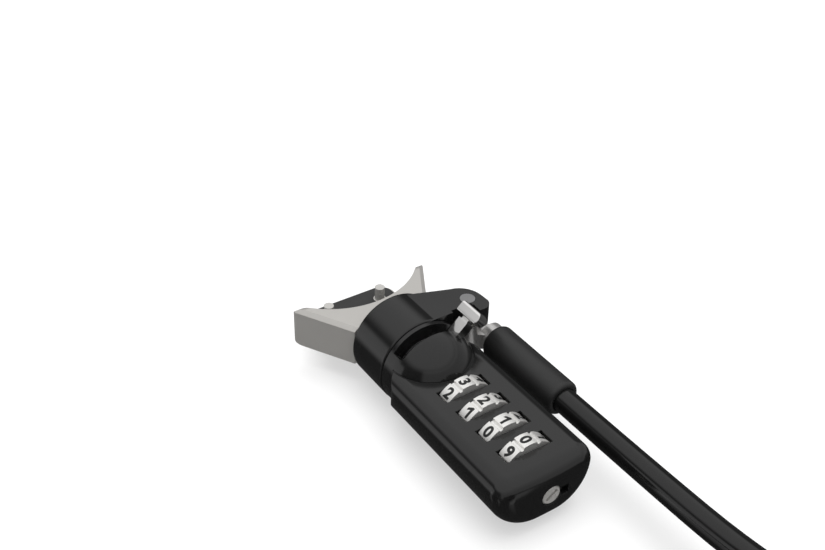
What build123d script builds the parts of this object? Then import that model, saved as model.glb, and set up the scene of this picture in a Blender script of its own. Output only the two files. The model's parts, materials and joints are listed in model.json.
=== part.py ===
from build123d import *
from math import cos, pi, radians, sin, tan
import os

# A four-dial combination lock for a laptop's security slot, with its steel cable and the
# adapter that gives the laptop a slot. Sizes are in millimetres.
# The model is drawn about the barrel's axis: X runs along the barrel from the laptop (-X)
# to the tail (+X), Y points to the side that carries the cable, Z is up, and x = 0 is the
# first dial window. At the end every piece moves to the lock's own origin, which is on the
# floor under the middle of the lock without its free cable.

# Collar, barrel and flat body
COLLAR_R = 9.0
COLLAR_X = (-22.0, -12.1)
BARREL_R = 8.9
BARREL_X = -11.85
DOME_X = -9.5
FACE_Z = 3.4
SEAM_R = 0.14
BASE_Z = -7.95
BODY_HALF_Y = 10.35
UPPER_R = 2.9
LOWER_R = 8.4
TAIL_R = 3.2
FACE_CORNER_R = 3.0
TAIL_BOW = 0.6
BODY_X = (-9.4, 26.5)
COVER_T = 0.85
COVER_HALF_Y = 6.9
COVER_X = (-2.0, 23.0)
SCREW_Y = 3.6
SCREW_SEAT_Z = BASE_Z + 0.75
SPINE_Y = (-1.5, -0.7)

# Dials, their windows and the bolt that they turn on
DIALS = 4
DIAL_PITCH = 5.8
WINDOW_LENGTH = 3.2
WINDOW_Y = (-5.1, 4.7)
WINDOW_DEPTH = 0.65
DIAL_Z = -0.95
DIAL_R = 5.85
DIAL_NOTCH_DEPTH = 0.45
DIAL_WIDTH = 2.8
DIAL_DIGITS = 10
DIAL_GAP = 0.25
RING_R = 3.2
BOLT_R = 1.5
RUNNING_GAP = 0.06
BOLT_X = (-4.0, 22.5)
BOLT_PIN_Z = -2.35
BOLT_PIN_R = 0.75

# Turning bar: spindle, lever and the T-shaped head that goes through the slot
SPINDLE_R = 3.5
SPINDLE_END_X = -6.3
NECK_R = 1.2
HEAD_X = (-26.0, -24.6)
HEAD_LENGTH = 6.6
HEAD_WIDTH = 2.6
LEVER_REST_DEG = 47.5
STEM_X = (-10.9, -8.4)
STEM_HALF = 1.1
GRIP_X = (-12.4, -6.7)
GRIP_RADII = (11.6, 14.1)
LEVER_TURN_DEG = 90.0
LEVER_SLOT_X = (-11.0, -8.3)
LEVER_SLOT_HALF = 1.4

# Barrel core, which holds the turning bar and carries the collar
CORE_R = 6.0
CORE_X = (-21.8, -6.2)
FLANGE_R = 7.4
FLANGE_T = 1.1
GUIDE_PIN_R = 0.8
GUIDE_PIN_Y = 2.6
CORE_PIN_X = -7.2
PIN_R = 0.6

# Screw in the tail that changes the code
RESET_Y = 0.3
RESET_Z = -2.0
RESET_R = 1.95
RESET_SHANK_R = 1.1
CAM_X = (23.4, 24.15)

# Slot adapter: a bracket that grips the laptop's corner
SECURITY_SLOT = (7.0, 3.0)
SLOT_WALL = 2.0
ADAPTER_X = (-34.6, -22.35)
ADAPTER_Z = (-4.3, 4.1)
ADAPTER_HALF_Y = (8.3, 15.4)
LAPTOP_CORNER_R = 17.2
LAPTOP_APEX_X = -27.6
BLADE_X = (-40.0, -30.0)
BLADE_HALF_Y = 10.0
BLADE_T = 1.1
PAD_T = 0.4
MOUNT_X = -36.0
MOUNT_SPACING = 12.0
MOUNT_HOLE_R = 1.3
STUD_R = 1.0

# Ear, pivot rivet, cable eye and sleeve
EAR_Z = (4.3, 8.6)
PIVOT = (-14.3, 11.8)
RIVET_R = 1.475
EYE_R = 3.2
EYE_HALF_Z = 3.95
WASHER_R = 2.9
CABLE_Y = 15.7
CABLE_R = 2.4
SHANK_R = 2.75
SHANK_X = (-11.6, -3.6)
WIRE_R = 1.4
SLEEVE_R = 3.5
SLEEVE_X = (-9.6, 10.7)
SOCKET_DEPTH = 2.2

# Free cable, measured from the sleeve's mouth: a straight run, a neat coil of the stored
# length in four layers, a short tail on the floor and a crimped loop
FLOOR_Z = -COLLAR_R
CABLE_ROUTE = [(-SOCKET_DEPTH, 0, 0), (22.0, 0, 0.1), (46.0, 0, 0.9), (66.0, 0, 6.4)]
COIL_X = 79.3
COIL_RADII = (19.4, 32.0)
COIL_LAYERS = 4
TAIL_RUN = (26.0, 8.0)
CRIMP_LENGTH = 12.0
CRIMP_WALL = 0.8
LEG_Y = 2.45
LOOP_HALF = 12.5
LOOP_LENGTH = 46.0
LOOP_RADII = [10, 14, 12, 12, 14, 10]


# Small helpers

def box(x, y, z):
    """A box between two values on each axis."""
    size = [limits[1] - limits[0] for limits in (x, y, z)]
    return Pos(x[0], y[0], z[0]) * Box(*size, align=(Align.MIN, Align.MIN, Align.MIN))


def rod_x(radius, x, y=0.0, z=0.0):
    """A cylinder along X between two values."""
    rod = Cylinder(radius, x[1] - x[0], align=(Align.CENTER, Align.CENTER, Align.MIN))
    return Pos(x[0], y, z) * Rot(0, 90, 0) * rod


def rod_z(radius, x, y, z):
    """A cylinder along Z between two values."""
    rod = Cylinder(radius, z[1] - z[0], align=(Align.CENTER, Align.CENTER, Align.MIN))
    return Pos(x, y, z[0]) * rod


def tube_x(outer, inner, x, y=0.0, z=0.0):
    """A tube along X between two values."""
    return rod_x(outer, x, y, z) - rod_x(inner, (x[0] - 1, x[1] + 1), y, z)


def prism_x(face, x):
    """A sketch drawn with Y to the right and Z up, pulled along X between two values."""
    plane = Plane(origin=(x[0], 0, 0), x_dir=(0, 1, 0), z_dir=(1, 0, 0))
    return extrude(plane * face, amount=x[1] - x[0])


def prism_y(face, half):
    """A sketch drawn with X to the right and Z up, pulled to both sides of y = 0."""
    plane = Plane(origin=(0, half, 0), x_dir=(1, 0, 0), z_dir=(0, -1, 0))
    return extrude(plane * face, amount=2 * half)


def prism_z(face, z):
    """A plan sketch pulled along Z between two values."""
    return extrude(Pos(0, 0, z[0]) * face, amount=z[1] - z[0])


def polygon(*points):
    """A face with straight sides."""
    return make_face(Polyline(*points, close=True))


def window_x(index, margin=0.0):
    """The limits along X of a dial window."""
    return (index * DIAL_PITCH - margin, index * DIAL_PITCH + WINDOW_LENGTH + margin)


def dial_x(index):
    """The limits along X of a dial."""
    start = index * DIAL_PITCH + (WINDOW_LENGTH - DIAL_WIDTH) / 2
    return (start, start + DIAL_WIDTH)


# Flat body and barrel

def body_section(inset=0.0):
    """Cross-section of the flat body: rounded upper edges and a full, almost half-round underside."""
    half, base = BODY_HALF_Y - inset, BASE_Z + inset
    face = polygon((-half, base), (half, base), (half, FACE_Z), (-half, FACE_Z))
    face = fillet(face.vertices().group_by(Axis.Y)[-1], UPPER_R)
    return fillet(face.vertices().group_by(Axis.Y)[0], LOWER_R - inset)


def body_plan():
    """Plan of the flat body: rounded front corners and a slightly bowed tail."""
    front, tail = BODY_X
    corner = tail - TAIL_BOW
    sides = Polyline((corner, BODY_HALF_Y), (front, BODY_HALF_Y), (front, -BODY_HALF_Y),
                     (corner, -BODY_HALF_Y))
    end = ThreePointArc((corner, -BODY_HALF_Y), (tail, 0), (corner, BODY_HALF_Y))
    face = make_face(sides + end)
    return fillet(face.vertices().group_by(Axis.X)[0], 4.2)


def is_tail_crease(middle):
    """Whether an edge's middle is where the face's rounded side edge runs into a rounded tail corner."""
    inner, outer = BODY_HALF_Y - UPPER_R, BODY_HALF_Y
    at_tail = middle.X > BODY_X[1] - TAIL_R
    return at_tail and inner < abs(middle.Y) < outer and FACE_Z - UPPER_R < middle.Z < FACE_Z - 0.1


def body_outline():
    """Outer shape of the flat body, with the tail rounded at the sides and below but not at the face."""
    above = FACE_Z + 6
    trough = polygon((-BODY_HALF_Y, BASE_Z), (BODY_HALF_Y, BASE_Z),
                     (BODY_HALF_Y, above), (-BODY_HALF_Y, above))
    trough = fillet(trough.vertices().group_by(Axis.Y)[0], LOWER_R)
    shape = prism_x(trough, (BODY_X[0] - 1, BODY_X[1] + 1)) & prism_z(body_plan(), (BASE_Z - 1, above))
    tail = shape.faces().filter_by(lambda f: f.center().X > BODY_X[1] - 1 and f.normal_at().X > 0.9)
    rim = [e for e in tail.edges() if e.center().Z < above - 0.1]
    shape = fillet(rim, TAIL_R)
    shape = shape & prism_x(body_section(), (BODY_X[0] - 1, BODY_X[1] + 1))
    creases = [e for e in shape.edges() if is_tail_crease(e.center())]
    return fillet(creases, FACE_CORNER_R)


def dial_bays():
    """Hollows for the dials, the bolt and its spring, open at the bottom."""
    radius = DIAL_R + DIAL_GAP
    bays = []
    for index in range(DIALS):
        x = window_x(index, 0.12)
        bay = rod_x(radius, x, 0, DIAL_Z) + box(x, (-radius, radius), (BASE_Z, DIAL_Z))
        bays.append(bay & box(x, (-radius, radius), (BASE_Z, FACE_Z - WINDOW_DEPTH)))
    channel = (BOLT_X[0] - 1, BOLT_X[1] + 0.55)
    half = BOLT_R + RUNNING_GAP
    bays.append(rod_x(half, channel, 0, DIAL_Z))
    bays.append(box(channel, (-half, half), (BASE_Z + COVER_T, DIAL_Z)))
    bays.append(rod_x(2.75, (window_x(DIALS - 1)[1], channel[1]), 0, DIAL_Z))
    groove = (window_x(0)[0], window_x(DIALS - 1)[1])
    bays.append(box(groove, (SPINE_Y[0] - 0.15, SPINE_Y[1] + 0.15), (BASE_Z, BASE_Z + COVER_T + 0.35)))
    return Part() + bays


def windows():
    """The four openings in the face."""
    depth = (FACE_Z - WINDOW_DEPTH - 0.1, FACE_Z + 2)
    return Part() + [box(window_x(index), WINDOW_Y, depth) for index in range(DIALS)]


def cover_space():
    """The recess in the underside that the base cover fills, down to the cover's inner surface."""
    corners = [(x, y) for x, y in ((COVER_X[0], -COVER_HALF_Y), (COVER_X[1], -COVER_HALF_Y),
                                   (COVER_X[1], COVER_HALF_Y), (COVER_X[0], COVER_HALF_Y))]
    plan = polygon(*corners)
    recess = prism_z(fillet(plan.vertices(), 2.0), (BASE_Z - 1, BASE_Z + LOWER_R / 2))
    return recess - prism_x(body_section(COVER_T), (COVER_X[0] - 1, COVER_X[1] + 1))


def cover_screw_places():
    """Places of the four cover screws, on the webs between the dials."""
    web = (DIAL_PITCH + WINDOW_LENGTH) / 2
    return [(index * DIAL_PITCH + web, side * SCREW_Y) for index in (0, 2) for side in (-1, 1)]


def lever_slot():
    """The arc-shaped slot over the top of the barrel, down to the spindle."""
    far = 20.0
    angles = (LEVER_REST_DEG - LEVER_TURN_DEG, LEVER_REST_DEG - LEVER_TURN_DEG / 2, LEVER_REST_DEG)
    corners = [(far * sin(radians(a)), far * cos(radians(a))) for a in angles]
    slot = prism_x(polygon((0, 0), *corners), LEVER_SLOT_X)
    for angle in (angles[0], angles[-1]):
        slot += Rot(-angle, 0, 0) * box(LEVER_SLOT_X, (-LEVER_SLOT_HALF, LEVER_SLOT_HALF), (0, far))
    return slot & tube_x(BARREL_R + 3, SPINDLE_R, LEVER_SLOT_X)


def reset_bores():
    """The stepped bore for the code-change screw and its cam, and the index window."""
    tail = BODY_X[1]
    bores = rod_x(RESET_R + RUNNING_GAP, (tail - 1.4, tail + 1), RESET_Y, RESET_Z)
    bores += rod_x(RESET_SHANK_R + RUNNING_GAP, (CAM_X[0], tail), RESET_Y, RESET_Z)
    bores += rod_x(2.1, (CAM_X[0] - 0.15, CAM_X[1] + 0.15), RESET_Y, RESET_Z)
    return bores + box((tail - 1.8, tail + 1), (RESET_Y + 2.0, RESET_Y + 3.7), (-3.1, -1.1))


def body_casting():
    """Flat body, barrel and dome in one casting, open below for the dials."""
    shape = body_outline() + rod_x(BARREL_R, (BARREL_X, DOME_X))
    dome = Pos(DOME_X, 0, 0) * Sphere(BARREL_R)
    shape += dome & box((DOME_X, 20), (-10, 10), (-10, 10))
    seam = Pos(DOME_X, 0, FACE_Z) * Torus((BARREL_R ** 2 - FACE_Z ** 2) ** 0.5, SEAM_R)
    shape -= seam & box((DOME_X + 0.3, 20), (-10, 10), (FACE_Z - 1, FACE_Z + 1))
    shape -= rod_x(CORE_R, (BARREL_X - 1, CORE_X[1]))
    shape -= lever_slot()
    shape -= box((CORE_X[1], -3.1), (-2.2, 2.2), (-4.4, 1.0))
    shape -= dial_bays()
    shape -= windows()
    shape -= cover_space()
    shape -= reset_bores()
    shape -= rod_z(PIN_R, CORE_PIN_X, 0, (-12, -4))
    for x, y in cover_screw_places():
        shape -= rod_z(0.75, x, y, (BASE_Z, BASE_Z + 4.3))
    return shape


def base_cover():
    """The plate that closes the underside."""
    plate = cover_space() & body_outline()
    for x, y in cover_screw_places():
        plate -= rod_z(0.75, x, y, (BASE_Z - 1, BASE_Z + 3))
        plate -= rod_z(1.3, x, y, (BASE_Z - 1, SCREW_SEAT_Z))
    return plate


def cover_screws():
    """Four cross-head screws that hold the base cover."""
    screws = []
    for x, y in cover_screw_places():
        under = SCREW_SEAT_Z - 0.35
        screw = rod_z(1.3, x, y, (under, SCREW_SEAT_Z)) + rod_z(0.75, x, y, (under, BASE_Z + 4.3))
        screw -= Pos(x, y, under) * (Box(1.5, 0.3, 0.4) + Box(0.3, 1.5, 0.4))
        screws.append(screw)
    return Compound(children=screws)


def detent_spring():
    """Leaf spring on the cover, with a spine along X and one arched finger across under each dial."""
    floor = BASE_Z + COVER_T
    top = DIAL_Z - DIAL_R - 0.06
    spring = box((window_x(0)[0], window_x(DIALS - 1)[1]), SPINE_Y, (floor, floor + 0.15))
    for index in range(DIALS):
        middle = sum(window_x(index)) / 2
        inside = (SPINE_Y[1], floor), (-0.4, top - 0.15), (0.4, top - 0.15), (1.0, floor)
        outside = (1.4, floor), (0.6, top), (-0.6, top), (SPINE_Y[0], floor + 0.15)
        arch = polygon((SPINE_Y[0], floor), *inside, *outside)
        spring += prism_x(arch, (middle - 0.9, middle + 0.9))
    return spring


# Barrel core

def barrel_core():
    """Steel tube fixed in the barrel, with a flange that keeps the collar on."""
    front, rear = CORE_X
    core = rod_x(CORE_R, CORE_X) + rod_x(FLANGE_R, (front, front + FLANGE_T))
    core -= rod_x(SPINDLE_R + RUNNING_GAP, (front + 1.4, rear + 1))
    core -= rod_x(NECK_R + RUNNING_GAP, (front - 1, front + 2))
    core -= lever_slot()
    for side in (-1, 1):
        core -= rod_x(GUIDE_PIN_R, (front - 1, front + 1.4), side * GUIDE_PIN_Y)
    return core - rod_z(PIN_R, CORE_PIN_X, 0, (-8, -4))


def guide_pins():
    """Two pins that stand in the security slot beside the turning neck."""
    x = (ADAPTER_X[1] - SLOT_WALL + 0.1, CORE_X[0] + 1.4)
    return Compound(children=[rod_x(GUIDE_PIN_R, x, side * GUIDE_PIN_Y) for side in (-1, 1)])


def core_pin():
    """Dowel from below that holds the barrel core in the casting."""
    return rod_z(PIN_R, CORE_PIN_X, 0, (BASE_Z, -4))


# Turning bar

def at_lever_angle(shape):
    """Turns a shape drawn pointing up to the lever's rest angle."""
    return Rot(-LEVER_REST_DEG, 0, 0) * shape


def turning_spindle():
    """Spindle with the T-shaped head in front and two bolt holes behind."""
    spindle = rod_x(SPINDLE_R, (CORE_X[0] + 1.5, SPINDLE_END_X))
    spindle += rod_x(NECK_R, (HEAD_X[0] + 0.2, CORE_X[0] + 1.6))
    head = box(HEAD_X, (-HEAD_WIDTH / 2, HEAD_WIDTH / 2), (-HEAD_LENGTH / 2, HEAD_LENGTH / 2))
    spindle += head & rod_x(HEAD_LENGTH / 2, HEAD_X)
    hole_x = (SPINDLE_END_X - 1.2, SPINDLE_END_X + 0.1)
    spindle -= rod_x(BOLT_PIN_R + 0.1, hole_x, 0, BOLT_PIN_Z)
    spindle -= rod_x(BOLT_PIN_R + 0.1, hole_x, BOLT_PIN_Z, 0)
    spindle -= at_lever_angle(box(STEM_X, (-STEM_HALF, STEM_HALF), (0.9, SPINDLE_R + 1)))
    return spindle - at_lever_angle(rod_x(PIN_R, (STEM_X[1] - 0.1, SPINDLE_END_X + 0.1), 0, 2.2))


def lever():
    """Thumb lever: a square stem through the slot, a short neck and a bar-shaped grip."""
    inner, outer = GRIP_RADII
    half = (outer - inner) / 2
    stem = box(STEM_X, (-STEM_HALF, STEM_HALF), (0.9, inner - 0.5))
    neck = box((STEM_X[0] + 0.4, STEM_X[1] - 0.4), (-0.75, 0.75), (inner - 0.6, inner + 0.1))
    section = fillet(Rectangle(2 * half, 2 * half).vertices(), 0.55)
    grip = prism_x(Pos(0, inner + half) * section, GRIP_X)
    side = polygon((GRIP_X[0], inner), (GRIP_X[1], inner), (GRIP_X[1], outer), (GRIP_X[0], outer))
    side = fillet(side.vertices().group_by(Axis.X)[-1], half - 0.05)
    side = fillet(side.vertices().group_by(Axis.X)[0], 0.5)
    grip = grip & prism_y(side, 3)
    pin_hole = rod_x(PIN_R, (STEM_X[1] - 1.0, STEM_X[1] + 0.1), 0, 2.2)
    return at_lever_angle(stem + neck + grip - pin_hole)


def lever_pin():
    """Dowel from the spindle's tail that locks the lever's stem in its pocket."""
    return at_lever_angle(rod_x(PIN_R, (STEM_X[1] - 1.0, SPINDLE_END_X), 0, 2.2))


# Dials and bolt

def dial(index):
    """Digit wheel: ten crowned pads with a notch between neighbours."""
    floor = DIAL_R - DIAL_NOTCH_DEPTH
    shoulder = DIAL_R - 0.1
    notch = polygon((-0.42, DIAL_R + 0.5), (-0.42, shoulder), (-0.22, floor), (0.22, floor),
                    (0.42, shoulder), (0.42, DIAL_R + 0.5))
    wheel = Circle(DIAL_R) - Circle(RING_R)
    for digit in range(DIAL_DIGITS):
        wheel -= Rot(0, 0, (digit + 0.5) * 360 / DIAL_DIGITS) * notch
    return Pos(0, 0, DIAL_Z) * prism_x(wheel, dial_x(index))


def code_ring(index):
    """Inner ring of a dial, with the gate that lets the bolt pass at the right digit."""
    x = dial_x(index)
    ring = tube_x(RING_R, BOLT_R + RUNNING_GAP, x, 0, DIAL_Z)
    return ring - box(x, (-0.5, 0.5), (DIAL_Z - 2.5, DIAL_Z))


def code_bolt():
    """Bolt that the dials ride on. Its crank pin enters the spindle's rear holes."""
    bolt = rod_x(BOLT_R, BOLT_X, 0, DIAL_Z)
    bolt += box((-4.9, -3.7), (-1.4, 1.4), (BOLT_PIN_Z - 1.2, DIAL_Z + 1.4))
    return bolt + rod_x(BOLT_PIN_R, (SPINDLE_END_X + 0.4, -4.8), 0, BOLT_PIN_Z)


def bolt_clip():
    """Snap ring on the bolt that the spring pushes on."""
    return tube_x(2.4, BOLT_R, (21.5, 21.75), 0, DIAL_Z)


def bolt_spring():
    """Small coil spring between the snap ring and the body's rear wall."""
    wire = 0.15
    height = 0.85
    path = Helix(pitch=height / 2, height=height, radius=2.1)
    spring = sweep(section_at(path, wire), path=path, is_frenet=True)
    return Pos(21.97, 0, DIAL_Z) * Rot(0, 90, 0) * spring


def reset_screw():
    """Slotted screw in the tail that frees the dials for a new code."""
    head_x = (BODY_X[1] - 1.3, BODY_X[1] - 0.05)
    head = rod_x(RESET_R, head_x, RESET_Y, RESET_Z)
    head = chamfer(head.edges().group_by(Axis.X)[-1], 0.25)
    screw = head + rod_x(RESET_SHANK_R, (CAM_X[0], head_x[0] + 0.1), RESET_Y, RESET_Z)
    return screw - Pos(head_x[1], RESET_Y, RESET_Z) * Rot(35, 0, 0) * Box(1.1, 2.6, 0.65)


def reset_cam():
    """Eccentric cam on the screw's inner end."""
    cam = rod_x(1.7, CAM_X, RESET_Y, RESET_Z + 0.25)
    return cam - rod_x(RESET_SHANK_R, (CAM_X[0] - 1, CAM_X[1] + 1), RESET_Y, RESET_Z)


# Slot adapter

def slot_adapter():
    """Bracket that follows the laptop's corner, with the security slot in its front wall."""
    far, near = ADAPTER_X
    near_y, far_y = ADAPTER_HALF_Y
    plan = polygon((near, -near_y), (near, near_y), (far, far_y), (far, -far_y))
    plan -= Pos(LAPTOP_APEX_X - LAPTOP_CORNER_R, 0) * Circle(LAPTOP_CORNER_R)
    bracket = prism_z(plan, ADAPTER_Z)
    rim = [e for e in bracket.edges().group_by(Axis.Z)[-1] if near_y < abs(e.center().Y) < far_y - 1]
    bracket = chamfer(rim, 0.8)
    tips = [e for e in bracket.edges().filter_by(Axis.Z) if abs(e.center().Y) > far_y - 0.01]
    bracket = fillet(tips, 0.7)
    side = polygon((far, ADAPTER_Z[0]), (near, ADAPTER_Z[0]), (near, ADAPTER_Z[1]), (far, ADAPTER_Z[1]))
    bracket = bracket & prism_y(fillet(side.vertices().group_by(Axis.X)[0], 2.2), far_y + 1)
    blade = box(BLADE_X, (-BLADE_HALF_Y, BLADE_HALF_Y), (ADAPTER_Z[0], ADAPTER_Z[0] + BLADE_T))
    blade = fillet(blade.edges().filter_by(Axis.Z).group_by(Axis.X)[0], 3.0)
    link = Pos(LAPTOP_APEX_X - LAPTOP_CORNER_R, 0, 0) * rod_z(
        LAPTOP_CORNER_R + 0.5, 0, 0, (ADAPTER_Z[0], ADAPTER_Z[0] + BLADE_T))
    blade += link & box((BLADE_X[1] - 1, near - 3), (-BLADE_HALF_Y, BLADE_HALF_Y), ADAPTER_Z)
    bracket += blade
    wall = (near - SLOT_WALL, near + 1)
    slot_y, slot_z = ((-size / 2, size / 2) for size in SECURITY_SLOT)
    slot = box(wall, slot_y, slot_z)
    bracket -= fillet(slot.edges().filter_by(Axis.X), 0.7)
    bracket -= rod_x(HEAD_LENGTH / 2 + DIAL_GAP, (near - SLOT_WALL - 1.95, near - SLOT_WALL))
    for side in (-1, 1):
        bracket -= rod_z(MOUNT_HOLE_R, MOUNT_X, side * MOUNT_SPACING / 2, (-6, 0))
        bracket -= rod_z(2.0, MOUNT_X, side * MOUNT_SPACING / 2, (-6, ADAPTER_Z[0] + 0.5))
    return bracket


def adapter_pad():
    """Thin rubber pad between the blade and the laptop."""
    z = (ADAPTER_Z[0] + BLADE_T, ADAPTER_Z[0] + BLADE_T + PAD_T)
    pad = box((BLADE_X[0] + 0.5, BLADE_X[1] - 1), (-BLADE_HALF_Y + 0.5, BLADE_HALF_Y - 0.5), z)
    pad = fillet(pad.edges().filter_by(Axis.Z).group_by(Axis.X)[0], 2.6)
    for side in (-1, 1):
        pad -= rod_z(MOUNT_HOLE_R, MOUNT_X, side * MOUNT_SPACING / 2, (-6, 0))
    return pad


def adapter_screws():
    """Two flat-headed screws up through the blade into the laptop's case."""
    screws = []
    rest = ADAPTER_Z[0] + BLADE_T + PAD_T
    for side in (-1, 1):
        y = side * MOUNT_SPACING / 2
        screw = rod_z(2.0, MOUNT_X, y, (ADAPTER_Z[0], ADAPTER_Z[0] + 0.5))
        screw += rod_z(MOUNT_HOLE_R, MOUNT_X, y, (ADAPTER_Z[0], rest))
        screw += rod_z(STUD_R, MOUNT_X, y, (rest, 0))
        screw -= Pos(MOUNT_X, y, ADAPTER_Z[0]) * (Box(2.2, 0.4, 0.5) + Box(0.4, 2.2, 0.5))
        screws.append(screw)
    return Compound(children=screws)


# Collar and cable pivot

def ear_plan():
    """Plan of the ear: slanted front edge, round end about the pivot, straight back."""
    rear = COLLAR_X[1]
    back = -10.0
    start = (COLLAR_X[0] + 0.4, 0)
    front = Polyline(start, (COLLAR_X[0] + 0.5, 2.1), (-18.4, 10.7))
    lobe = ThreePointArc((-18.4, 10.7), (-17.1, 13.2), (-14.2, 14.6))
    sides = Polyline((-14.2, 14.6), (back, 14.9), (back, 11.6), (rear, 11.6), (rear, 0), start)
    plan = make_face(front + lobe + sides)
    corner = plan.vertices().sort_by(lambda v: v.X + v.Y)[-1:]
    return fillet(corner, 2.0)


def collar():
    """Swivelling collar with two ear plates for the cable's pivot."""
    ring = rod_x(COLLAR_R, COLLAR_X)
    ring = fillet(ring.edges().filter_by(GeomType.CIRCLE), 0.35)
    for low, high in (EAR_Z, (-EAR_Z[1], -EAR_Z[0])):
        ring += prism_z(ear_plan(), (low, high))
    ring -= box((-12.75, -12), (6.9, 11.4), (EAR_Z[0] + 0.9, EAR_Z[1] + 1))
    ring -= rod_x(CORE_R + RUNNING_GAP, (COLLAR_X[0] - 1, COLLAR_X[1] + 5))
    ring -= rod_x(FLANGE_R + RUNNING_GAP, (COLLAR_X[0] - 1, CORE_X[0] + FLANGE_T + 0.1))
    ring -= rod_x(8.2, (COLLAR_X[1] - 0.5, COLLAR_X[1] + 1))
    ring -= rod_z(EYE_R + 0.35, PIVOT[0], PIVOT[1], (-EAR_Z[0], EAR_Z[0]))
    return ring - rod_z(RIVET_R, PIVOT[0], PIVOT[1], (-10, 10))


def swivel_washer():
    """Nylon washer between the collar and the body's rim."""
    return tube_x(8.1, CORE_R + RUNNING_GAP, (COLLAR_X[1] - 0.5, COLLAR_X[1] + 0.15))


def pivot_rivet():
    """Steel rivet through both ear plates and the cable's eye."""
    return rod_z(RIVET_R, PIVOT[0], PIVOT[1], (-EAR_Z[1], EAR_Z[1]))


def pivot_washers():
    """Washers between the eye and each ear plate."""
    inner = EYE_HALF_Z + 0.05
    washers = []
    for z in ((-EAR_Z[0], -inner), (inner, EAR_Z[0])):
        washers.append(rod_z(WASHER_R, *PIVOT, z) - rod_z(RIVET_R, *PIVOT, z))
    return Compound(children=washers)


def cable_eye():
    """Steel eye on the rivet, with a round shank that the wire is crimped into."""
    ends = (Pos(*PIVOT) * Circle(2.3), Pos(SHANK_X[0] + 0.7, CABLE_Y - 0.15) * Circle(1.7))
    arm = make_hull(ends[0].edges() + ends[1].edges())
    arm = prism_z(arm, (-1.7, 1.7)) & box((-20, SLEEVE_X[0] - 0.05), (0, 20), (-5, 5))
    eye = rod_z(EYE_R, *PIVOT, (-EYE_HALF_Z, EYE_HALF_Z)) + arm
    eye += rod_x(SHANK_R, SHANK_X, CABLE_Y)
    eye -= rod_z(RIVET_R + 0.05, *PIVOT, (-5, 5))
    return eye - rod_x(WIRE_R, (SHANK_X[1] - 4, SHANK_X[1] + 1), CABLE_Y)


def cable_sleeve():
    """Moulded sleeve over the joint between the shank and the cable."""
    mouth = SLEEVE_X[1]
    sleeve = rod_x(SLEEVE_R, SLEEVE_X, CABLE_Y)
    sleeve = fillet(sleeve.edges().filter_by(GeomType.CIRCLE), 0.85)
    sleeve -= rod_x(SHANK_R, (SLEEVE_X[0] - 1, SHANK_X[1]), CABLE_Y)
    sleeve -= rod_x(WIRE_R, (SHANK_X[1] - 1, mouth), CABLE_Y)
    return sleeve - rod_x(CABLE_R + RUNNING_GAP, (mouth - SOCKET_DEPTH, mouth + 1), CABLE_Y)


def wire_core():
    """Bare steel rope inside the sleeve, from the shank to the jacketed cable."""
    return rod_x(WIRE_R, (SHANK_X[1] - 4, SLEEVE_X[1] - SOCKET_DEPTH), CABLE_Y)


# Free cable

def section_at(path, radius):
    """The round section at the start of a path."""
    return Plane(origin=path @ 0, z_dir=path % 0) * Circle(radius)


def cable():
    """Cable from the sleeve to the coil: straight runs joined by tangent arcs."""
    points = [Vector(SLEEVE_X[1] + x, CABLE_Y + y, z) for x, y, z in CABLE_ROUTE]
    radii = []
    for before, here, after in zip(points, points[1:], points[2:]):
        turn = radians((here - before).get_angle(after - here))
        shorter = min((here - before).length, (after - here).length)
        radii.append(0.45 * shorter / tan(turn / 2))
    path = FilletPolyline(*points, radius=radii)
    tube = sweep(section_at(path, CABLE_R), path=path)
    print("cable radii", [round(r) for r in radii], "length", round(path.length, 1),
          "volume ratio", round(tube.volume / (pi * CABLE_R ** 2 * path.length), 4))
    return tube


def coil_centre():
    """The coil's centre in plan: the cable reaches its outer turn along the tangent."""
    return (SLEEVE_X[1] + COIL_X, CABLE_Y - COIL_RADII[1])


def cable_coil():
    """Outer shape of the coiled length: a ring with softened edges."""
    inner = COIL_RADII[0] - CABLE_R
    outer = COIL_RADII[1] + CABLE_R
    height = 2 * CABLE_R * COIL_LAYERS
    section = Pos((inner + outer) / 2, 0) * RectangleRounded(outer - inner, height, CABLE_R - 0.1)
    plane = Plane(origin=(0, 0, 0), x_dir=(1, 0, 0), z_dir=(0, -1, 0))
    return Pos(*coil_centre(), FLOOR_Z + height / 2) * revolve(plane * section, Axis.Z)


def tail_line():
    """Y and Z of the tail, which leaves the coil's outer turn a crimp's wall above the floor."""
    return (coil_centre()[1] - COIL_RADII[1], FLOOR_Z + CABLE_R + CRIMP_WALL)


def cable_tail():
    """Short stretch from the coil to the loop's crimp."""
    centre = coil_centre()[0]
    return rod_x(CABLE_R, (centre - TAIL_RUN[0], centre - TAIL_RUN[1]), *tail_line())


def at_crimp(shape):
    """Moves a shape drawn from the crimp's rear face along +X to its place, facing -X."""
    y, z = tail_line()
    return Pos(coil_centre()[0] - TAIL_RUN[0], y + LEG_Y, z) * Rot(0, 0, 180) * shape


def end_loop():
    """Loop at the far end, which the cable is passed through. Its legs lie in the crimp."""
    leg = [(0, LEG_Y, 0), (CRIMP_LENGTH + 4.5, LEG_Y, 0), (CRIMP_LENGTH + 15.5, LOOP_HALF, 0),
           (LOOP_LENGTH, LOOP_HALF, 0)]
    path = FilletPolyline(*leg, *[(x, -y, z) for x, y, z in reversed(leg)], radius=LOOP_RADII)
    return at_crimp(sweep(section_at(path, CABLE_R), path=path))


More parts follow.
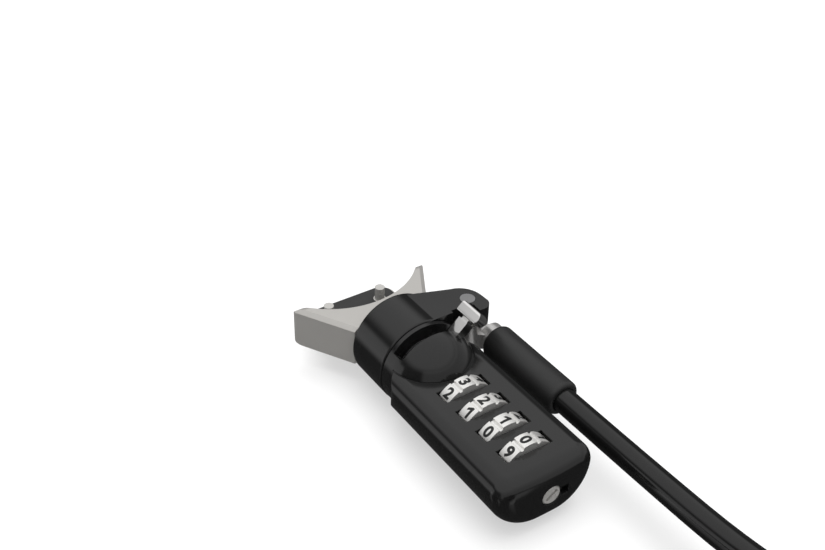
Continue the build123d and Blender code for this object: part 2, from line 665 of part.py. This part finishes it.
def loop_crimp():
    """Oval metal ferrule that closes the loop."""
    width = 2 * (LEG_Y + CABLE_R + CRIMP_WALL)
    height = 2 * (CABLE_R + CRIMP_WALL)
    crimp = prism_x(RectangleRounded(width, height, CABLE_R + CRIMP_WALL - 0.05), (0, CRIMP_LENGTH))
    for side in (-1, 1):
        crimp -= rod_x(CABLE_R, (-1, CRIMP_LENGTH + 1), side * LEG_Y)
    return at_crimp(crimp)


# All pieces, by name

def lock_pieces():
    """The lock and its adapter, without the free cable."""
    pieces = {shape.__name__: shape() for shape in (
        body_casting, base_cover, cover_screws, detent_spring, barrel_core, guide_pins, core_pin,
        turning_spindle, lever, lever_pin, code_bolt, bolt_clip, bolt_spring, reset_screw, reset_cam,
        slot_adapter, adapter_pad, adapter_screws, collar, swivel_washer, pivot_rivet, pivot_washers,
        cable_eye, cable_sleeve, wire_core)}
    for index in range(DIALS):
        pieces[f"dial_{index + 1}"] = dial(index)
        pieces[f"code_ring_{index + 1}"] = code_ring(index)
    return pieces


def cord_pieces():
    """The free cable, its coil and the loop at its end."""
    return {shape.__name__: shape() for shape in (cable, cable_coil, cable_tail, end_loop, loop_crimp)}


lock = lock_pieces()
solids = [solid for shape in lock.values() for solid in shape.solids()]
middle = Compound(children=solids).bounding_box().center()
place = Pos(-middle.X, -middle.Y, -FLOOR_Z)
print("origin is at", round(middle.X, 3), round(middle.Y, 3), "of the drawing")
os.makedirs("parts", exist_ok=True)
for name, shape in {**lock, **cord_pieces()}.items():
    export_step(place * shape, f"parts/{name}.step")
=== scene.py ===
import bmesh
import bpy
import json
import math
from mathutils import Matrix, Vector


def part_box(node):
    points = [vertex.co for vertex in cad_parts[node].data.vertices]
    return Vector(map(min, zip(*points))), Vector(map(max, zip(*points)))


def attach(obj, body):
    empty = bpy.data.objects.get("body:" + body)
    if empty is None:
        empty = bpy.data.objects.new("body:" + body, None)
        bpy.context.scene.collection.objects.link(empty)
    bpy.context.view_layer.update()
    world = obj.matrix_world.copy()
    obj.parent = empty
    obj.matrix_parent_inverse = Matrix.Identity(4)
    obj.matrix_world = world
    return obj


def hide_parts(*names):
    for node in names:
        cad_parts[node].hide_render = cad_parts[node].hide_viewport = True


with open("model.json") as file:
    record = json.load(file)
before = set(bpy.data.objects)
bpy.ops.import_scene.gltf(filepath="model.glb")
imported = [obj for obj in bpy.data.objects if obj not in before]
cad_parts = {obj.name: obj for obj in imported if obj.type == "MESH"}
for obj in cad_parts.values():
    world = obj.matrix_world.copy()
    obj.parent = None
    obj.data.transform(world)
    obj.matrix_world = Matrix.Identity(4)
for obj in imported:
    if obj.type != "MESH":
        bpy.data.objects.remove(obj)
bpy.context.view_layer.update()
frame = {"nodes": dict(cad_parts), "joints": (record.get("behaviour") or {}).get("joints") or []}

# Looks of the laptop cable lock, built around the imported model. Everything is in metres,
# and places come from the frame: X runs along the barrel, Y points to the cable, Z is up.

MM = 0.001
NODES = frame["nodes"]
JOINTS = {joint["name"]: joint for joint in frame["joints"]}

# The barrel's axis and the point where the cable leaves its sleeve
AXIS = Vector(JOINTS["barrel_turn"]["pos_m"])
SLEEVE_LOW, SLEEVE_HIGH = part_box("cable_sleeve")
EXIT = Vector((SLEEVE_HIGH.x, (SLEEVE_LOW.y + SLEEVE_HIGH.y) / 2, AXIS.z))

# Cable: the same route, coil and tail as the CAD model, in mm from the sleeve's mouth
CABLE_R = 2.4 * MM
CABLE_ROUTE = [(-2.2, 0, 0), (22.0, 0, 0.1), (46.0, 0, 0.9), (66.0, 0, 6.4)]
COIL_X = 79.3 * MM
COIL_RADII = (19.4 * MM, 32.0 * MM)
COIL_LAYERS = 4
TURN_POINTS = 24
STEP_POINTS = 3
TAIL_ENDS = (8.0 * MM, 26.0 * MM)
CRIMP_WALL = 0.8 * MM

# Digits: the one on top of each dial at rest, and the size of a figure on its pad
TOP_DIGITS = (3, 2, 1, 0)
DIGITS = 10
DIGIT_HEIGHT = 2.35 * MM
DIGIT_WIDTH = 1.5 * MM
DIGIT_BOLD = 0.04
DIGIT_RAISE = 0.015 * MM
DIGIT_SLICES = 10
WELD_GAP = 1e-5
ONE_OUTLINE = [(-0.02, -0.5), (0.2, -0.5), (0.2, 0.5), (0.02, 0.5), (-0.3, 0.27),
               (-0.3, 0.05), (-0.02, 0.2)]

# Camera
CAMERA_AT = Vector((131.01, -98.96, 147.48)) * MM
CAMERA_TURNS = ("Z", 55.34), ("X", 54.6), ("Z", 1.73)
CAMERA_LENS = 50.4
CAMERA_CLIP = (0.005, 10.0)
SENSOR = 36.0

# Floor and the light above it
FLOOR_HALF = 3.0
FLOOR_COLOR = (0.45, 0.45, 0.45)
FLOOR_ROUGHNESS = 0.9
FLOOR_GLOW = 0.52
SOFTBOX_AT = Vector((-0.1, 0.1, 0.8))
SOFTBOX_AIM = Vector((0, 0, 0.01))
SOFTBOX_SIZE = 0.9
SOFTBOX_POWER = 7.0

# Studio around the lock. A rise is the sine of the elevation. A ramp goes from one strength
# to another between two rises.
BACKDROP = 0.95
OVERHEAD_RAMP = (0.40, 0.66, 0.0, 0.78)
LOW_RAMP = (-1.0, 0.2, 0.04, 0.06)

# Light cards: azimuth and half width in degrees, lowest and highest rise, strength, and how
# softly the sides (in radians), the bottom and the top fade out
CARDS = (
    (-128, 26, -0.1, 0.22, 0.75, (0.03, 0.25, 0.15)),
    (30, 75, 0.05, 0.5, 0.45, (0.2, 0.2, 0.05)),
    (-115, 4, -0.6, -0.1, 0.45, (0.03, 0.25, 0.1)),
    (-66, 5, -0.6, -0.1, 0.4, (0.03, 0.25, 0.1)),
    (10, 14, -0.6, -0.1, 0.5, (0.03, 0.25, 0.1)),
)

# Materials: noise scales per metre, and the part of a noise that is stretched to a full range
PATCH_SCALE = 220.0
METAL_PATCH_SCALE = 500.0
METAL_GRAIN = 1200.0
METAL_MARKS = 1.5e-6
WEAR_SCALE = 1500.0
FINE_DETAIL = 3.0
METAL_DETAIL = 4.0
PATCH_RANGE = (0.3, 0.7)
WEAR_RANGE = (0.42, 0.62)
EDGE_RANGE = (0.8, 0.995)
COAT_EDGE = 0.12 * MM
METAL_EDGE = 0.1 * MM
# Paler colours painted along edges in patches: painted highlights where edges catch light
EDGE_HIGHLIGHT_BLACK = (0.05, 0.05, 0.052)
EDGE_HIGHLIGHT_NYLON = (0.5, 0.49, 0.46)


# Camera, floor and light

def link_object(name, data):
    """A new object in the scene."""
    item = bpy.data.objects.new(name, data)
    bpy.context.scene.collection.objects.link(item)
    return item


def add_camera():
    """The camera, above the tail's corner and looking down on the dials."""
    data = bpy.data.cameras.new("camera")
    data.lens = CAMERA_LENS
    data.sensor_width = SENSOR
    data.clip_start, data.clip_end = CAMERA_CLIP
    camera = link_object("camera", data)
    turn = Matrix.Identity(4)
    for axis, degrees in CAMERA_TURNS:
        turn = turn @ Matrix.Rotation(math.radians(degrees), 4, axis)
    camera.matrix_world = Matrix.Translation(CAMERA_AT) @ turn
    bpy.context.scene.camera = camera


def add_floor():
    """A wide white floor. Glossy surfaces reflect the studio's dark lower half instead of it."""
    half = FLOOR_HALF
    mesh = bpy.data.meshes.new("floor")
    corners = [(-half, -half, 0), (half, -half, 0), (half, half, 0), (-half, half, 0)]
    mesh.from_pydata(corners, [], [(0, 1, 2, 3)])
    floor = link_object("floor", mesh)
    floor.visible_glossy = False
    material, _ = shader_of("floor_white", FLOOR_COLOR, FLOOR_ROUGHNESS, Specular_IOR_Level=0.0,
                            Emission_Color=(1, 1, 1, 1), Emission_Strength=FLOOR_GLOW)
    mesh.materials.append(material)


def add_softbox():
    """A square area light overhead that shows in no reflection."""
    data = bpy.data.lights.new("overhead", "AREA")
    data.shape = "RECTANGLE"
    data.size = data.size_y = SOFTBOX_SIZE
    data.energy = SOFTBOX_POWER
    light = link_object("overhead", data)
    light.location = SOFTBOX_AT
    light.rotation_euler = (SOFTBOX_AIM - SOFTBOX_AT).to_track_quat("-Z", "Y").to_euler()
    light.visible_glossy = False


class Studio:
    """The world's shader as arithmetic on the direction of a ray."""

    def __init__(self):
        world = bpy.data.worlds.new("studio")
        world.use_nodes = True
        bpy.context.scene.world = world
        self.nodes = world.node_tree.nodes
        self.links = world.node_tree.links
        place = self.nodes.new("ShaderNodeTexCoord")
        split = self.nodes.new("ShaderNodeSeparateXYZ")
        self.links.new(place.outputs["Generated"], split.inputs["Vector"])
        across, along, self.rise = split.outputs
        self.azimuth = self.math("ARCTAN2", along, across)

    def math(self, operation, *values):
        """One math node on sockets or numbers."""
        node = self.nodes.new("ShaderNodeMath")
        node.operation = operation
        for socket, value in zip(node.inputs, values):
            if isinstance(value, (int, float)):
                socket.default_value = value
            else:
                self.links.new(value, socket)
        return node.outputs[0]

    def ramp(self, value, start, end, low=0.0, high=1.0):
        """A smooth change from low to high between two values."""
        node = self.nodes.new("ShaderNodeMapRange")
        node.interpolation_type = "SMOOTHSTEP"
        names = ("From Min", "From Max", "To Min", "To Max")
        for name, number in zip(names, (start, end, low, high)):
            node.inputs[name].default_value = number
        self.links.new(value, node.inputs["Value"])
        return node.outputs["Result"]

    def band(self, value, low, high, soft_low, soft_high):
        """1 between two values, with soft edges."""
        return self.math("MULTIPLY", self.ramp(value, low - soft_low, low),
                         self.ramp(value, high, high + soft_high, 1.0, 0.0))

    def card(self, azimuth, half_width, bottom, top, strength, soft):
        """One light card."""
        soft_side, soft_bottom, soft_top = soft
        off = self.math("SUBTRACT", self.azimuth, math.radians(azimuth))
        wrapped = self.math("ARCTAN2", self.math("SINE", off), self.math("COSINE", off))
        half = math.radians(half_width)
        across = self.band(wrapped, -half, half, soft_side, soft_side)
        up = self.band(self.rise, bottom, top, soft_bottom, soft_top)
        return self.math("MULTIPLY", self.math("MULTIPLY", across, up), strength)

    def finish(self, parts):
        """Adds the parts up. The camera sees a plain pale backdrop."""
        total = parts[0]
        for part in parts[1:]:
            total = self.math("ADD", total, part)
        path = self.nodes.new("ShaderNodeLightPath")
        mix = self.nodes.new("ShaderNodeMix")
        self.links.new(path.outputs["Is Camera Ray"], mix.inputs["Factor"])
        self.links.new(total, mix.inputs["A"])
        mix.inputs["B"].default_value = BACKDROP
        background = self.nodes["Background"]
        background.inputs["Color"].default_value = (1, 1, 1, 1)
        self.links.new(mix.outputs["Result"], background.inputs["Strength"])


def add_studio():
    """Overhead light with a dark gap below it, light cards at the sides and a dark lower half."""
    studio = Studio()
    ramps = [studio.ramp(studio.rise, *ramp) for ramp in (OVERHEAD_RAMP, LOW_RAMP)]
    studio.finish(ramps + [studio.card(*card) for card in CARDS])


# Materials

def shader_of(name, color, roughness, **sockets):
    """A new material with these constants on its shader, and the shader."""
    material = bpy.data.materials.new(name)
    material.use_nodes = True
    shader = material.node_tree.nodes["Principled BSDF"]
    shader.inputs["Base Color"].default_value = (*color, 1)
    shader.inputs["Roughness"].default_value = roughness
    for socket, value in sockets.items():
        shader.inputs[socket.replace("_", " ")].default_value = value
    return material, shader


def node_of(material, kind, **inputs):
    """A new node with values or links on its inputs."""
    node = material.node_tree.nodes.new(kind)
    for name, value in inputs.items():
        socket = node.inputs[name.replace("_", " ")]
        if isinstance(value, bpy.types.NodeSocket):
            material.node_tree.links.new(value, socket)
        else:
            socket.default_value = value
    return node


def noise_of(material, scale, detail=2.0, stretch=(1, 1, 1)):
    """A noise in object coordinates."""
    place = node_of(material, "ShaderNodeTexCoord").outputs["Object"]
    mapped = node_of(material, "ShaderNodeMapping", Vector=place, Scale=stretch)
    noise = node_of(material, "ShaderNodeTexNoise", Vector=mapped.outputs["Vector"],
                    Scale=scale, Detail=detail)
    return noise.outputs["Fac"]


def ramp_of(material, factor, low, high, between):
    """Maps the part of a factor between two limits to values from low to high."""
    start, end = between
    node = node_of(material, "ShaderNodeMapRange", Value=factor, From_Min=start, From_Max=end,
                   To_Min=low, To_Max=high)
    return node.outputs["Result"]


def pair_of(material, kind, operation, first, second):
    """A math node on two sockets."""
    node = material.node_tree.nodes.new(kind)
    node.operation = operation
    for value, socket in zip((first, second), node.inputs):
        material.node_tree.links.new(value, socket)
    return node.outputs["Value"]


def edge_of(material, radius):
    """A bevelled normal, and a mask that is 1 along edges."""
    bevel = node_of(material, "ShaderNodeBevel", Radius=radius).outputs["Normal"]
    flat = node_of(material, "ShaderNodeNewGeometry").outputs["Normal"]
    dot = pair_of(material, "ShaderNodeVectorMath", "DOT_PRODUCT", bevel, flat)
    return bevel, ramp_of(material, dot, 1.0, 0.0, EDGE_RANGE)


def rub_edges(material, shader, edge, edge_highlight):
    """Mixes a paler colour in along edges, in patches: a painted highlight where the edges catch
    light.
    """
    # Painted highlight: the paler colour goes on along edges, in noise patches
    patches = noise_of(material, WEAR_SCALE, FINE_DETAIL)
    highlight_patches = ramp_of(material, patches, 0.0, 1.0, WEAR_RANGE)
    mix = material.node_tree.nodes.new("ShaderNodeMix")
    mix.data_type = "RGBA"
    mix.inputs["A"].default_value = tuple(shader.inputs["Base Color"].default_value)
    mix.inputs["B"].default_value = (*edge_highlight, 1)
    highlighted = pair_of(material, "ShaderNodeMath", "MULTIPLY", edge, highlight_patches)
    material.node_tree.links.new(highlighted, mix.inputs["Factor"])
    material.node_tree.links.new(mix.outputs["Result"], shader.inputs["Base Color"])


def finish_of(material, shader, roughness, spread, patches, grain, depth, edge_radius, edge_highlight=None):
    """Roughness that varies in patches, a fine grain and, with a radius, softened edges, with a
    painted highlight in a paler colour along them when one is given.
    """
    link = material.node_tree.links.new
    rough = ramp_of(material, noise_of(material, patches, FINE_DETAIL),
                    roughness - spread, roughness + spread, PATCH_RANGE)
    bump = node_of(material, "ShaderNodeBump", Strength=1.0, Distance=depth, Height=grain)
    if edge_radius:
        normal, edge = edge_of(material, edge_radius)
        link(normal, bump.inputs["Normal"])
        # Painted highlight along the edges, when a paler colour is given
        if edge_highlight:
            rub_edges(material, shader, edge, edge_highlight)
    link(rough, shader.inputs["Roughness"])
    link(bump.outputs["Normal"], shader.inputs["Normal"])


def coated(name, color, roughness, spread, grain, depth, edge_radius=COAT_EDGE, edge_highlight=EDGE_HIGHLIGHT_BLACK):
    """A coating or plastic: fine grain, small changes of gloss, edges painted a little paler as a
    painted highlight.
    """
    material, shader = shader_of(name, color, roughness)
    finish_of(material, shader, roughness, spread, PATCH_SCALE, noise_of(material, grain), depth,
              edge_radius, edge_highlight)
    return material


def metal(name, color, roughness, spread, metallic=1.0, stretch=(1, 1, 1)):
    """Metal with faint marks, drawn out along an axis where it is brushed."""
    material, shader = shader_of(name, color, roughness, Metallic=metallic)
    grain = noise_of(material, METAL_GRAIN, METAL_DETAIL, stretch)
    finish_of(material, shader, roughness, spread, METAL_PATCH_SCALE, grain, METAL_MARKS, METAL_EDGE)
    return material


def give(material, *names):
    """Puts a material on CAD nodes."""
    for name in names:
        slots = NODES[name].material_slots
        if slots:
            for slot in slots:
                slot.material = material
        else:
            NODES[name].data.materials.append(material)


# Digits

def figure_one():
    """The figure 1, with its flag, as a closed thin solid."""
    shape = bmesh.new()
    face = shape.faces.new([shape.verts.new((x, y, -0.5)) for x, y in ONE_OUTLINE])
    for part in bmesh.ops.extrude_face_region(shape, geom=[face])["geom"]:
        if isinstance(part, bmesh.types.BMVert):
            part.co.z = 0.5
    return shape


def figure_text(digit):
    """A figure from the built-in font as a closed thin solid."""
    curve = bpy.data.curves.new(f"figure_{digit}", "FONT")
    curve.body = str(digit)
    curve.resolution_u = 4
    curve.offset = DIGIT_BOLD
    curve.extrude = 0.5
    text = bpy.data.objects.new(f"figure_{digit}", curve)
    mesh = bpy.data.meshes.new_from_object(text)
    bpy.data.objects.remove(text)
    bpy.data.curves.remove(curve)
    shape = bmesh.new()
    shape.from_mesh(mesh)
    bpy.data.meshes.remove(mesh)
    bmesh.ops.remove_doubles(shape, verts=shape.verts, dist=WELD_GAP)
    return shape


def figure_of(digit):
    """A bold figure, centred, with its height along Y, cut into slices so that it can bend."""
    shape = figure_one() if digit == 1 else figure_text(digit)
    lows = [min(v.co[i] for v in shape.verts) for i in range(2)]
    highs = [max(v.co[i] for v in shape.verts) for i in range(2)]
    middle = [(low + high) / 2 for low, high in zip(lows, highs)]
    scale_y = DIGIT_HEIGHT / (highs[1] - lows[1])
    scale_x = min(scale_y, DIGIT_WIDTH / (highs[0] - lows[0]))
    for vert in shape.verts:
        vert.co.x = (vert.co.x - middle[0]) * scale_x
        vert.co.y = (vert.co.y - middle[1]) * scale_y
    for cut in range(1, DIGIT_SLICES):
        level = DIGIT_HEIGHT * (cut / DIGIT_SLICES - 0.5)
        parts = shape.verts[:] + shape.edges[:] + shape.faces[:]
        bmesh.ops.bisect_plane(shape, geom=parts, plane_co=(0, level, 0), plane_no=(0, 1, 0))
    return shape


def add_digits(index, material):
    """The ten figures of a dial, wrapped on its pads."""
    centre = Vector(JOINTS[f"dial_{index}_turn"]["pos_m"])
    low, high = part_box(f"dial_{index}")
    middle = (low.x + high.x) / 2
    radius = (high.z - low.z) / 2
    digits = bmesh.new()
    for step in range(DIGITS):
        figure = figure_of((TOP_DIGITS[index - 1] + step) % DIGITS)
        turn = step * 2 * math.pi / DIGITS
        for vert in figure.verts:
            angle = turn + vert.co.y / radius
            height = radius + DIGIT_RAISE * (1 if vert.co.z > 0 else -1)
            vert.co = Vector((middle + vert.co.x, centre.y + height * math.sin(angle),
                              centre.z + height * math.cos(angle)))
        part = bpy.data.meshes.new("part")
        figure.to_mesh(part)
        figure.free()
        digits.from_mesh(part)
        bpy.data.meshes.remove(part)
    bmesh.ops.recalc_face_normals(digits, faces=digits.faces)
    mesh = bpy.data.meshes.new(f"digits_{index}")
    digits.to_mesh(mesh)
    digits.free()
    mesh.materials.append(material)
    piece = link_object(f"digits_{index}", mesh)
    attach(piece, f"dial_{index}")


# Cable

def coil_points(centre):
    """The coil's turns: each layer spirals in or out, and ends above the next one."""
    inner, outer = COIL_RADII
    turns = (outer - inner) / (2 * CABLE_R)
    layer_points = round(turns * TURN_POINTS)
    swell = 1 / math.cos(math.pi / TURN_POINTS)
    points = []
    for i in range(COIL_LAYERS * layer_points + 1):
        layer, along = divmod(i, layer_points)
        share = along / layer_points
        radius = outer - (outer - inner) * (share if layer % 2 == 0 else 1 - share)
        height = (2 * (COIL_LAYERS - min(layer, COIL_LAYERS - 1)) - 1) * CABLE_R
        if 0 < layer < COIL_LAYERS:
            height += (1 - min(1.0, along / STEP_POINTS)) * 2 * CABLE_R
        angle = math.pi / 2 - 2 * math.pi * i / TURN_POINTS
        points.append(Vector((centre.x + radius * swell * math.cos(angle),
                              centre.y + radius * swell * math.sin(angle), height)))
    return points


def cable_points():
    """Control points of the whole cable, from inside the sleeve to the crimp."""
    centre = Vector((EXIT.x + COIL_X, EXIT.y - COIL_RADII[1], 0))
    points = [EXIT + Vector(p) * MM for p in CABLE_ROUTE]
    points += coil_points(centre)
    for run in TAIL_ENDS:
        points.append(Vector((centre.x - run, centre.y - COIL_RADII[1], CABLE_R + CRIMP_WALL)))
    return points


def add_cable(material):
    """The free cable on one smooth line."""
    curve = bpy.data.curves.new("security_cable", "CURVE")
    curve.dimensions = "3D"
    curve.bevel_depth = CABLE_R
    curve.bevel_resolution = 8
    curve.resolution_u = 6
    curve.use_fill_caps = True
    points = cable_points()
    spline = curve.splines.new("NURBS")
    spline.points.add(len(points) - 1)
    for point, place in zip(spline.points, points):
        point.co = (*place, 1)
    spline.order_u = 3
    spline.use_endpoint_u = True
    curve.materials.append(material)
    cable = link_object("security_cable", curve)
    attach(cable, "cable_end")
    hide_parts("cable", "cable_coil", "cable_tail")


def main():
    bpy.context.scene.view_settings.view_transform = "Standard"
    add_camera()
    add_floor()
    add_studio()
    add_softbox()
    # The black coat, the sleeve and the pad rubber get paler edges by default: a painted highlight
    black = coated("black_coat", (0.009, 0.009, 0.009), 0.13, 0.02, 9000.0, 1e-6)
    sleeve = coated("sleeve_black", (0.014, 0.014, 0.014), 0.42, 0.05, 5000.0, 6e-6)
    jacket = coated("jacket_black", (0.007, 0.007, 0.007), 0.14, 0.03, 2500.0, 2e-6, 0.0)
    paint = coated("digit_paint", (0.008, 0.008, 0.008), 0.4, 0.05, 6000.0, 1e-6, 0.0)
    rubber = coated("pad_rubber", (0.03, 0.03, 0.03), 0.75, 0.06, 4000.0, 2e-5)
    # The nylon washers get paler edges: a painted highlight
    nylon = coated("washer_nylon", (0.35, 0.34, 0.31), 0.5, 0.05, 4000.0, 3e-6,
                   edge_highlight=EDGE_HIGHLIGHT_NYLON)
    chrome = metal("chrome_plate", (0.93, 0.92, 0.91), 0.12, 0.03)
    satin = metal("satin_eye", (0.62, 0.61, 0.60), 0.3, 0.04, metallic=0.8)
    steel = metal("turned_steel", (0.40, 0.40, 0.405), 0.32, 0.05)
    screw = metal("screw_steel", (0.50, 0.49, 0.47), 0.25, 0.05, metallic=0.3)
    dial = metal("dial_plate", (0.88, 0.87, 0.85), 0.35, 0.06, metallic=0.75)
    brass = metal("code_brass", (0.78, 0.57, 0.25), 0.3, 0.05)
    adapter = metal("satin_adapter", (0.56, 0.545, 0.52), 0.38, 0.05, metallic=0.6,
                    stretch=(0.1, 1, 1))
    give(black, "body_casting", "collar", "base_cover")
    give(rubber, "adapter_pad")
    give(nylon, "swivel_washer", "pivot_washers")
    give(sleeve, "cable_sleeve")
    give(jacket, "end_loop")
    give(chrome, "lever")
    give(satin, "cable_eye")
    give(adapter, "slot_adapter", "loop_crimp")
    give(screw, "reset_screw", "cover_screws", "adapter_screws")
    give(steel, "barrel_core", "guide_pins", "core_pin", "turning_spindle", "lever_pin",
         "code_bolt", "bolt_clip", "bolt_spring", "detent_spring", "reset_cam", "pivot_rivet",
         "wire_core")
    for index in range(1, len(TOP_DIGITS) + 1):
        give(dial, f"dial_{index}")
        give(brass, f"code_ring_{index}")
        add_digits(index, paint)
    add_cable(jacket)


main()
